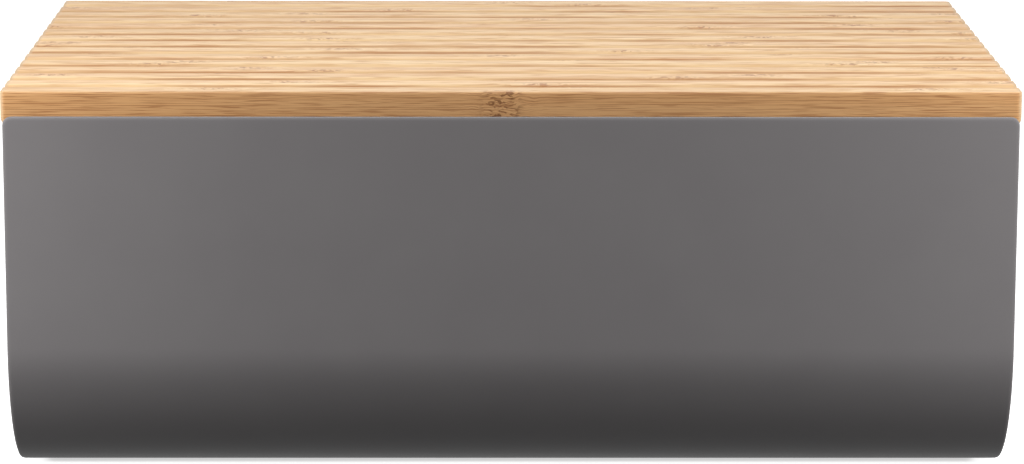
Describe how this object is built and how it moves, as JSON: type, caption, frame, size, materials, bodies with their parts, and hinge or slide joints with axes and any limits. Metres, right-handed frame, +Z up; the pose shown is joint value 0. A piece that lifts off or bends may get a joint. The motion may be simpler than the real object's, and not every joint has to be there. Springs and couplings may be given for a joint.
{
  "type": "bread box",
  "caption": "Bread box: a bent sheet-steel trough with pressed end panels on low feet, under a lift-off ribbed bamboo lid that doubles as a cutting board.",
  "frame": {"origin": "on the surface the box stands on, under the middle of the box", "axes": "+X to the box's right seen from the front, +Y to the back, so the front looks along -Y, +Z up"},
  "size_m": [0.34, 0.2206, 0.137],
  "materials": {
    "coated_steel": "satin grey powder coat",
    "foot_pad": "matt",
    "bamboo": "oiled, side-pressed bamboo"
  },
  "bodies": {
    "box": {"body_skin": "coated_steel", "end_panel_left": "coated_steel", "end_panel_right": "coated_steel", "foot_front_left": "foot_pad", "foot_front_right": "foot_pad", "foot_back_left": "foot_pad", "foot_back_right": "foot_pad"},
    "lid": {"lid_stave_01": "bamboo", "lid_stave_02": "bamboo", "lid_stave_03": "bamboo", "lid_stave_04": "bamboo", "lid_stave_05": "bamboo", "lid_stave_06": "bamboo", "lid_stave_07": "bamboo", "lid_stave_08": "bamboo", "lid_stave_09": "bamboo", "lid_stave_10": "bamboo", "lid_stave_11": "bamboo", "lid_stave_12": "bamboo", "lid_stave_13": "bamboo", "lid_stave_14": "bamboo", "lid_stave_15": "bamboo"}
  },
  "joints": [
    {"name": "lid_lift", "type": "slide", "parent": "box", "child": "lid", "axis": [0, 0, 1], "range_m": [0, 0.2]}
  ]
}
